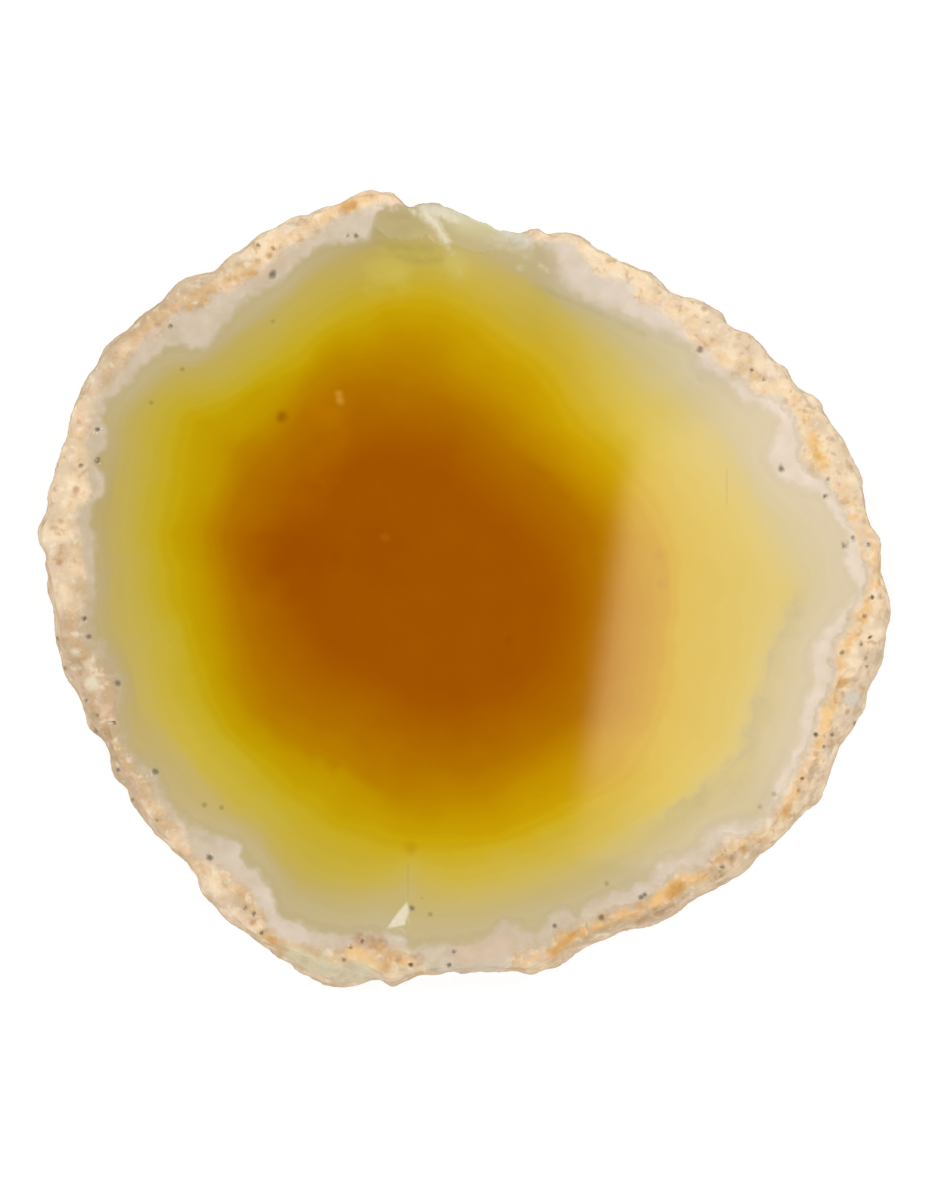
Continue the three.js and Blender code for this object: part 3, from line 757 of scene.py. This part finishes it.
# How far they lighten or darken a layer, as a share, and how fine the lines along the bands are
LILAC_CLOUDINESS = 0.9
RIND_PATCHINESS = 1.6
LINE_CONTRAST = 0.07
LINES_PER_BAND = 2.6

# Fades from one colour to another: where each starts and ends, and the shares there if not 0 and 1
LEFT_TO_RIGHT = (-30, 26)
GREY_BANDS = (7.6, 9.2)
BRIGHT_BANDS = (5.6, 6.8)
SEAM_ACROSS = (20, 28)
SEAM_BELOW = (2, -3)
SEAM_BREAKS = (0.3, 0.6, 0.4, 1)
HAIRLINE_EDGE = (0.16, 0.05)
PINK_MOTTLES = (0.52, 0.66, 0, 0.6)
OUTER_RIND_FADE = (-2.2, -4, 0, 0.6)
ORANGE_RIDGE = (1.1, 0.2)
ORANGE_BREAKS = (0.35, 0.6)
CREAM_GRAINS = (0.52, 0.75, 0, 0.5)
TAN_GRAINS = (0.45, 0.25, 0, 0.7)
SPECK_EDGE = (0.34, 0.06)
SPECK_CHOICE = (0.78, 0.92, 0, 0.6)
LILAC_SHADOW = (-10, 25, 0.35, 0.22)
LILAC_SHADOW_EDGE = (0.9, 0.1, 0)
RIND_FADE = (0.7, -0.7)
CHIP_FADE = (0.4, 3.2, 0, 0.8)
PATCH_FADE = (0.2, 0.95, 0, 0.85)
SPLIT_FADE = (-0.15, 0.2, 0, 0.9)
PIT_FADE = (1.4, 0.3, 0, 0.85)
FAINT_FADE = (1.5, 0.4, 0, 0.5)
GRIME_FADE = (0.47, 0.7, 0, 0.4)
SIDE_SHADE_FADE = (0.5, 0.1, 0, 0.7)

# How deep in the rind the orange line runs, and how deep in the lilac layer its shadow, in millimetres
ORANGE_LINE_DEPTH = -1.0
LILAC_SHADOW_DEPTH = 0.3

# Grey lines, one of them broad, on the lower right, as band position, width in bands and strength
SEAM_LINES = [(8.45, 0.7, 0.4), (8.3, 0.28, 0.45)]


class Tree:
    """A material's nodes, with a short call for each kind that is used."""

    def __init__(self, material):
        material.use_nodes = True
        self.nodes = material.node_tree.nodes
        self.links = material.node_tree.links
        self.nodes.clear()

    def add(self, kind, inputs=None, **settings):
        made = self.nodes.new(kind)
        for name, value in settings.items():
            setattr(made, name, value)
        for key, value in (inputs or {}).items():
            self.feed(made.inputs[key], value)
        return made

    def feed(self, socket, value):
        if isinstance(value, bpy.types.NodeSocket):
            self.links.new(value, socket)
        else:
            socket.default_value = value

    def finish(self, shader, kind="Material"):
        output = self.add(f"ShaderNodeOutput{kind}")
        self.links.new(shader.outputs[0], output.inputs["Surface"])

    def maths(self, operation, first, second=0.0, third=0.0):
        made = self.add("ShaderNodeMath", operation=operation)
        for socket, value in zip(made.inputs, (first, second, third)):
            self.feed(socket, value)
        return made.outputs[0]

    def times(self, first, second):
        return self.maths("MULTIPLY", first, second)

    def shifted(self, value, drift, amount):
        """The value plus the drift times the amount."""
        return self.maths("MULTIPLY_ADD", drift, amount, value)

    def gap(self, value, middle):
        """How far the value is from a middle one, either way."""
        return self.maths("ABSOLUTE", self.maths("SUBTRACT", value, middle))

    def value(self, name):
        return self.add("ShaderNodeAttribute", attribute_name=name).outputs["Fac"]

    def parts(self, vector):
        return self.add("ShaderNodeSeparateXYZ", {0: vector}).outputs

    def scaled_place(self, scale):
        here = self.add("ShaderNodeTexCoord").outputs["Object"]
        return self.add("ShaderNodeVectorMath", {0: here, 1: (scale,) * 3}, operation="MULTIPLY").outputs[0]

    def mix(self, share, first, second, blend="MIX"):
        made = self.add("ShaderNodeMix", data_type="RGBA", blend_type=blend)
        for number, value in {0: share, 6: first, 7: second}.items():
            self.feed(made.inputs[number], value)
        return made.outputs[2]

    def mix_values(self, share, first, second):
        made = self.add("ShaderNodeMix", data_type="FLOAT")
        for number, value in {0: share, 2: first, 3: second}.items():
            self.feed(made.inputs[number], value)
        return made.outputs[0]

    def step(self, value, start, end, low=0.0, high=1.0):
        made = self.add("ShaderNodeMapRange", interpolation_type="SMOOTHSTEP")
        for socket, given in zip(made.inputs, (value, start, end, low, high)):
            self.feed(socket, given)
        return made.outputs[0]

    def noise(self, place, size, detail=2.0, roughness=0.5):
        inputs = {"Vector": place, "Scale": 1 / size, "Detail": detail, "Roughness": roughness}
        return self.add("ShaderNodeTexNoise", inputs).outputs["Fac"]

    def drift(self, place, size, detail=2.0, roughness=0.5):
        """Noise either side of nought."""
        return self.maths("SUBTRACT", self.noise(place, size, detail, roughness), 0.5)

    def cells(self, place, size):
        return self.add("ShaderNodeTexVoronoi", {"Vector": place, "Scale": 1 / size}).outputs

    def ramp(self, value, tints):
        """A colour that runs evenly through the tints while the value goes from 0 to 1."""
        made = self.add("ShaderNodeValToRGB", {"Fac": value})
        stops = made.color_ramp.elements
        while len(stops) < len(tints):
            stops.new(0.5)
        made.color_ramp.interpolation = "B_SPLINE"
        for number, (stop, tint) in enumerate(zip(stops, tints)):
            stop.position = number / (len(tints) - 1)
            stop.color = shade(*tint)
        return made.outputs["Color"]


def banded_colour(tree, place):
    """The core and the bands, with their edges a little uneven and faint lines along them."""
    band = tree.shifted(tree.value("band"), tree.drift(place, *BAND_NOISE), BAND_DRIFT)
    share = tree.maths("DIVIDE", band, len(LEFT_BANDS) - 1)
    # Partly painted light: towards the right the bands are painted a little lighter, besides their own
    # paler tone
    rightness = tree.step(tree.parts(place)["X"], *LEFT_TO_RIGHT)
    base = tree.mix(rightness, tree.ramp(share, LEFT_BANDS), tree.ramp(share, RIGHT_BANDS_AND_PAINTED_LIGHT))
    outermost = tree.times(tree.value("band_grey"), tree.step(band, *GREY_BANDS))
    base = tree.mix(outermost, base, GREY_BAND)
    inputs = {"W": band, "Scale": LINES_PER_BAND, "Detail": 2.0}
    lines = tree.add("ShaderNodeTexNoise", inputs, noise_dimensions="1D").outputs["Fac"]
    brighter = tree.shifted(1.0, tree.value("band_bright"), tree.step(band, *BRIGHT_BANDS))
    strength = tree.shifted(brighter, tree.maths("SUBTRACT", lines, 0.5), LINE_CONTRAST)
    tint = tree.add("ShaderNodeCombineColor", {0: strength, 1: strength, 2: strength}).outputs[0]
    return seam_lines(tree, place, tree.mix(1.0, base, tint, "MULTIPLY"), band)


def seam_lines(tree, place, colour, band):
    """Uneven grey lines just outside the yellow on the lower right."""
    parts = tree.parts(place)
    side = tree.times(tree.step(parts["X"], *SEAM_ACROSS), tree.step(parts["Y"], *SEAM_BELOW))
    uneven = tree.shifted(band, tree.drift(place, SEAM_NOISE), SEAM_DRIFT)
    broken = tree.step(tree.noise(place, SEAM_BREAK_NOISE), *SEAM_BREAKS)
    for middle, width, strength in SEAM_LINES:
        line = tree.times(broken, tree.step(tree.gap(uneven, middle), width, 0.0, 0.0, strength))
        colour = tree.mix(tree.times(side, line), colour, EDGE_GREY)
    return colour


def face_marks(tree, place, colour):
    """Faint dark and light marks within the polished face."""
    cloudy = tree.drift(place, SOFT_NOISE)
    for x, y, radius, strength, tint in FACE_MARKS:
        ends = {0: place, 1: (x, y, THICKNESS)}
        reach = tree.add("ShaderNodeVectorMath", ends, operation="DISTANCE").outputs["Value"]
        reach = tree.shifted(reach, cloudy, MARK_DRIFT * radius)
        colour = tree.mix(tree.step(reach, radius, 0.0, 0.0, strength), colour, shade(*tint))
    return colour


def hairlines(tree, place, colour):
    """Fine straight lines up the face, fading out at both ends."""
    parts = tree.parts(place)
    for x, low, high, strength in HAIRLINES:
        half = (high - low) / 2
        reach = tree.step(tree.gap(parts["Y"], low + half), half, half / 2)
        line = tree.times(reach, tree.step(tree.gap(parts["X"], x), *HAIRLINE_EDGE, 0.0, strength))
        colour = tree.mix(line, colour, FAINT_OLIVE)
    return colour


def rind_colour(tree, place, depth):
    """Peach rind, paler and browner in patches, with an orange line on its inner side."""
    patchy = tree.drift(place, *PATCHY)
    pale = tree.shifted(tree.value("rind_pale"), patchy, RIND_PATCHINESS)
    colour = tree.mix(tree.step(pale, 0.0, 1.0), DULL_RIND, PALE_RIND)
    colour = tree.mix(tree.step(tree.noise(place, *MOTTLED), *PINK_MOTTLES), colour, RIND_PINK)
    outer = tree.step(tree.shifted(depth, patchy, OUTER_RIND_WANDER), *OUTER_RIND_FADE)
    colour = tree.mix(outer, colour, OUTER_RIND)
    ridge = tree.step(tree.gap(depth, ORANGE_LINE_DEPTH), *ORANGE_RIDGE)
    broken = tree.step(tree.noise(place, *BROKEN), *ORANGE_BREAKS)
    line = tree.times(tree.times(ridge, broken), tree.value("orange_line"))
    return rind_grains(tree, place, tree.mix(line, colour, RIND_ORANGE))


def rind_grains(tree, place, colour):
    """Cream and tan grains, and a few brown specks."""
    grainy = tree.noise(place, *GRAINY)
    colour = tree.mix(tree.step(grainy, *CREAM_GRAINS), colour, RIND_CREAM)
    colour = tree.mix(tree.step(grainy, *TAN_GRAINS), colour, TAN)
    cells = tree.cells(place, SPECK_SIZE)
    choice = tree.add("ShaderNodeSeparateColor", {0: cells["Color"]}).outputs[0]
    specks = tree.times(tree.step(cells["Distance"], *SPECK_EDGE), tree.step(choice, *SPECK_CHOICE))
    return tree.mix(specks, colour, SPECK_BROWN)


def uneven_lilac_depth(tree, place):
    """How far a point lies inside the lilac layer's scalloped inner edge."""
    scallops = tree.maths("SUBTRACT", tree.cells(place, SCALLOP_SIZE)["Distance"], SCALLOP_MIDDLE)
    depth = tree.shifted(tree.value("lilac_depth"), scallops, SCALLOP_DEPTH)
    return tree.shifted(depth, tree.drift(place, *FINE), LILAC_RAGGEDNESS)


def uneven_rind_depth(tree, place):
    """How far a point lies inside the rind's ragged inner edge."""
    depth = tree.shifted(tree.value("rind_depth"), tree.drift(place, *FINE), RIND_RAGGEDNESS)
    return tree.shifted(depth, tree.drift(place, SOFT_NOISE), RIND_WANDER)


def stone_colour(tree, place, rind_depth, rind):
    """Everything from the core out to the skin."""
    colour = hairlines(tree, place, face_marks(tree, place, banded_colour(tree, place)))
    pale = tree.shifted(tree.value("lilac_pale"), tree.drift(place, *CLOUDY), LILAC_CLOUDINESS)
    depth = uneven_lilac_depth(tree, place)
    fade = tree.value("lilac_fade")
    outside = tree.step(depth, fade, tree.times(fade, -1.0))
    colour = tree.mix(outside, colour, tree.mix(pale, DULL_LILAC, PALE_LILAC))
    darkest = tree.step(tree.parts(place)["X"], *LILAC_SHADOW)
    shadow = tree.step(tree.gap(depth, LILAC_SHADOW_DEPTH), *LILAC_SHADOW_EDGE, darkest)
    colour = tree.mix(shadow, colour, EDGE_GREY)
    return tree.mix(rind, colour, rind_colour(tree, place, rind_depth))


def add_patches(tree, place, colour):
    """Chips, stains, pale nodules, dark pits and some painted shade in the top chip, over the layered
    colours.
    """
    wobble = tree.drift(place, *RAGGED)
    colour = tree.mix(tree.step(tree.value("chip_depth"), *CHIP_FADE), colour, CHIP_PALE)
    for name, (tint, raggedness) in PATCH_TINTS.items():
        strength = tree.shifted(tree.value(name), wobble, raggedness)
        colour = tree.mix(tree.step(strength, *PATCH_FADE), colour, tint)
    colour = tree.mix(tree.step(tree.value("split_depth"), *SPLIT_FADE), colour, CREAM)
    pit = tree.shifted(tree.value("pit_reach"), wobble, PIT_RAGGEDNESS)
    colour = tree.mix(tree.step(pit, *PIT_FADE), colour, PIT_GREY)
    faint = tree.shifted(tree.value("faint_reach"), wobble, PIT_RAGGEDNESS)
    return tree.mix(tree.step(faint, *FAINT_FADE), colour, FAINT_OLIVE)


def skin_share(tree):
    """1 on the rough skin, 0 on the sawn faces and in the chips."""
    rough = tree.maths("SUBTRACT", 1.0, tree.value("sawn"))
    return tree.maths("SUBTRACT", rough, tree.value("chip"))


def grime_and_side_shade(tree, place, skin, colour):
    """Grime on the rough skin, and painted shade: a darker brown where the skin falls away steeply."""
    grime = tree.times(skin, tree.step(tree.noise(place, *GRIMY), *GRIME_FADE))
    colour = tree.mix(grime, colour, BROWN_SKIN)
    # Painted shade: the more steeply the skin falls away, the darker brown it is painted
    facing = tree.add("ShaderNodeNewGeometry").outputs["Normal"]
    side_shade = tree.times(skin, tree.step(tree.parts(facing)["Z"], *SIDE_SHADE_FADE))
    return tree.mix(side_shade, colour, SIDE_SHADE_BROWN)


# How rough each kind of surface is, how high the bumps of rind and skin are, and how the stone bends light
POLISH = 0.028
CHIP_ROUGHNESS = 0.4
RIND_ROUGHNESS = 0.6
SKIN_ROUGHNESS = 0.85
BUMP_HEIGHT = 0.3
BUMP_STRENGTH = 0.45
STONE_IOR = 1.54


def agate_material():
    """Polished bands inside a matt, granular rind."""
    material = bpy.data.materials.new("agate")
    tree = Tree(material)
    place = tree.scaled_place(1 / MM)
    rind_depth = uneven_rind_depth(tree, place)
    rind = tree.step(rind_depth, *RIND_FADE)
    skin = skin_share(tree)
    colour = add_patches(tree, place, stone_colour(tree, place, rind_depth, rind))
    colour = grime_and_side_shade(tree, place, skin, colour)
    broken = tree.mix_values(tree.value("chip"), POLISH, CHIP_ROUGHNESS)
    rough_rind = tree.mix_values(rind, broken, RIND_ROUGHNESS)
    roughness = tree.mix_values(skin, rough_rind, SKIN_ROUGHNESS)
    relief = tree.times(tree.noise(place, *SKIN_GRAINS), tree.maths("MAXIMUM", rind, skin))
    bumps = {"Strength": BUMP_STRENGTH, "Distance": BUMP_HEIGHT * MM, "Height": relief}
    normal = tree.add("ShaderNodeBump", bumps).outputs[0]
    inputs = {"Base Color": colour, "Roughness": roughness, "Normal": normal, "IOR": STONE_IOR}
    tree.finish(tree.add("ShaderNodeBsdfPrincipled", inputs))
    return material


# The camera looks straight down at the middle of the picture
CAMERA_SPOT = (0.06, -1.3)
LENS = 150
SENSOR = 36
VIEW_HEIGHT = 141.7
CAMERA_GAP = VIEW_HEIGHT * LENS / SENSOR


def place_camera():
    """A long lens straight above the slice."""
    data = bpy.data.cameras.new("camera")
    data.lens = LENS
    data.sensor_width = SENSOR
    data.sensor_fit = "AUTO"
    data.clip_start = 0.01
    camera = new_object("camera", data)
    camera.location = (CAMERA_SPOT[0] * MM, CAMERA_SPOT[1] * MM, (CAMERA_GAP + THICKNESS) * MM)
    bpy.context.scene.camera = camera


# Soft lights all round, well away from straight above, so the polished face mirrors darkness there
LIGHT_DISTANCE = 0.8
LIGHT_SIZE = 0.45
LIGHT_HEIGHT = 42
LIGHT_POWER = 2.2
LIGHT_TURNS = {45: 1.0, 135: 1.1, 225: 0.95, 315: 0.95}


def place_lights():
    """One large soft light over each corner."""
    for turn, share in LIGHT_TURNS.items():
        data = bpy.data.lights.new(f"light_{turn}", "AREA")
        data.size = LIGHT_SIZE
        data.energy = LIGHT_POWER * share
        around, up = math.radians(turn), math.radians(LIGHT_HEIGHT)
        way = Vector((math.cos(around) * math.cos(up), math.sin(around) * math.cos(up), math.sin(up)))
        light = new_object(data.name, data)
        light.location = way * LIGHT_DISTANCE
        light.rotation_euler = way.to_track_quat("Z", "Y").to_euler()


# The panel whose reflection brightens the right third of the face, by where its corners are mirrored,
# and the places, also in the mirrored picture, between which it fades at the foot, the top and the left
PANEL_GAP = 1000.0
PANEL_GLOW = 2.7
PANEL_FOOT_SHARE = 0.35
PANEL_FADE = (-28, -17)
PANEL_TOP_FADE = (10, -1)
PANEL_TOP_SLOPE = 0.62
PANEL_EDGE_SLOPE = 0.1456
PANEL_EDGE_FADE = (15.5, 19.6)
PANEL_TINT = (1.0, 0.84, 0.8, 1.0)
PANEL_EDGE_TINT = (1.0, 0.84, 0.66, 1.0)
PANEL_TINT_FADE = (18, 24)
MIRRORED_CORNERS = [(10.4, -31), (18.7, 26), (62, 60), (62, -40)]
PANEL_REACH = 1 + PANEL_GAP / CAMERA_GAP


def panel_material():
    """A soft glow that fades at the panel's foot, its top and its left edge, where it is also warmer."""
    material = bpy.data.materials.new("panel_glow")
    tree = Tree(material)
    parts = tree.parts(tree.scaled_place(1 / MM / PANEL_REACH))
    strength = tree.step(parts["Y"], *PANEL_FADE, PANEL_FOOT_SHARE * PANEL_GLOW, PANEL_GLOW)
    above = tree.shifted(parts["Y"], parts["X"], -PANEL_TOP_SLOPE)
    strength = tree.times(strength, tree.step(above, *PANEL_TOP_FADE))
    beside = tree.shifted(parts["X"], parts["Y"], -PANEL_EDGE_SLOPE)
    strength = tree.times(strength, tree.step(beside, *PANEL_EDGE_FADE))
    tint = tree.mix(tree.step(beside, *PANEL_TINT_FADE), PANEL_EDGE_TINT, PANEL_TINT)
    tree.finish(tree.add("ShaderNodeEmission", {"Color": tint, "Strength": strength}))
    return material


def place_panel():
    """A glowing panel above the camera."""
    corners = []
    for x, y in MIRRORED_CORNERS:
        across = CAMERA_SPOT[0] + (x - CAMERA_SPOT[0]) * PANEL_REACH
        along = CAMERA_SPOT[1] + (y - CAMERA_SPOT[1]) * PANEL_REACH
        corners.append((across * MM, along * MM, (THICKNESS + PANEL_GAP) * MM))
    return flat_sheet("panel", corners, panel_material())


# The floor, in metres, with its grey, its own glow, and how far it lies below the slice
FLOOR_HALF = 4.0
FLOOR_GREY = 0.36
FLOOR_ROUGHNESS = 0.9
FLOOR_GLOW = 0.72
FLOOR_DROP = 0.00002
WHITE = (1.0, 1.0, 1.0, 1.0)


def place_floor():
    """A pale floor under the slice, bright enough to leave hardly any shadow."""
    material = bpy.data.materials.new("pale_floor")
    tree = Tree(material)
    inputs = {
        "Base Color": (FLOOR_GREY, FLOOR_GREY, FLOOR_GREY, 1.0), "Roughness": FLOOR_ROUGHNESS,
        "Emission Color": WHITE, "Emission Strength": FLOOR_GLOW,
    }
    tree.finish(tree.add("ShaderNodeBsdfPrincipled", inputs))
    half = FLOOR_HALF
    corners = [(-half, -half, 0), (half, -half, 0), (half, half, 0), (-half, half, 0)]
    floor = flat_sheet("floor", corners, material)
    floor.location.z = -FLOOR_DROP
    return floor


# The sky's glow from the horizon up, as heights where its fade starts and ends and the strengths there
SKY_FADE = (0.55, 0.85, 0.45, 0.0)


def set_world():
    """Pale towards the horizon and dark overhead; the camera sees it as pale all over."""
    world = bpy.data.worlds.new("studio")
    bpy.context.scene.world = world
    tree = Tree(world)
    way = tree.add("ShaderNodeTexCoord").outputs["Generated"]
    glow = tree.step(tree.parts(way)["Z"], *SKY_FADE)
    seen = tree.add("ShaderNodeLightPath").outputs["Is Camera Ray"]
    inputs = {"Color": WHITE, "Strength": tree.mix_values(seen, glow, 1.0)}
    tree.finish(tree.add("ShaderNodeBackground", inputs), "World")


stone = agate_stone()
stone.data.materials.append(agate_material())
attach(stone, "root")
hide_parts("agate_slice")
place_floor()
place_panel()
place_camera()
place_lights()
set_world()
bpy.context.scene.view_settings.view_transform = "Standard"
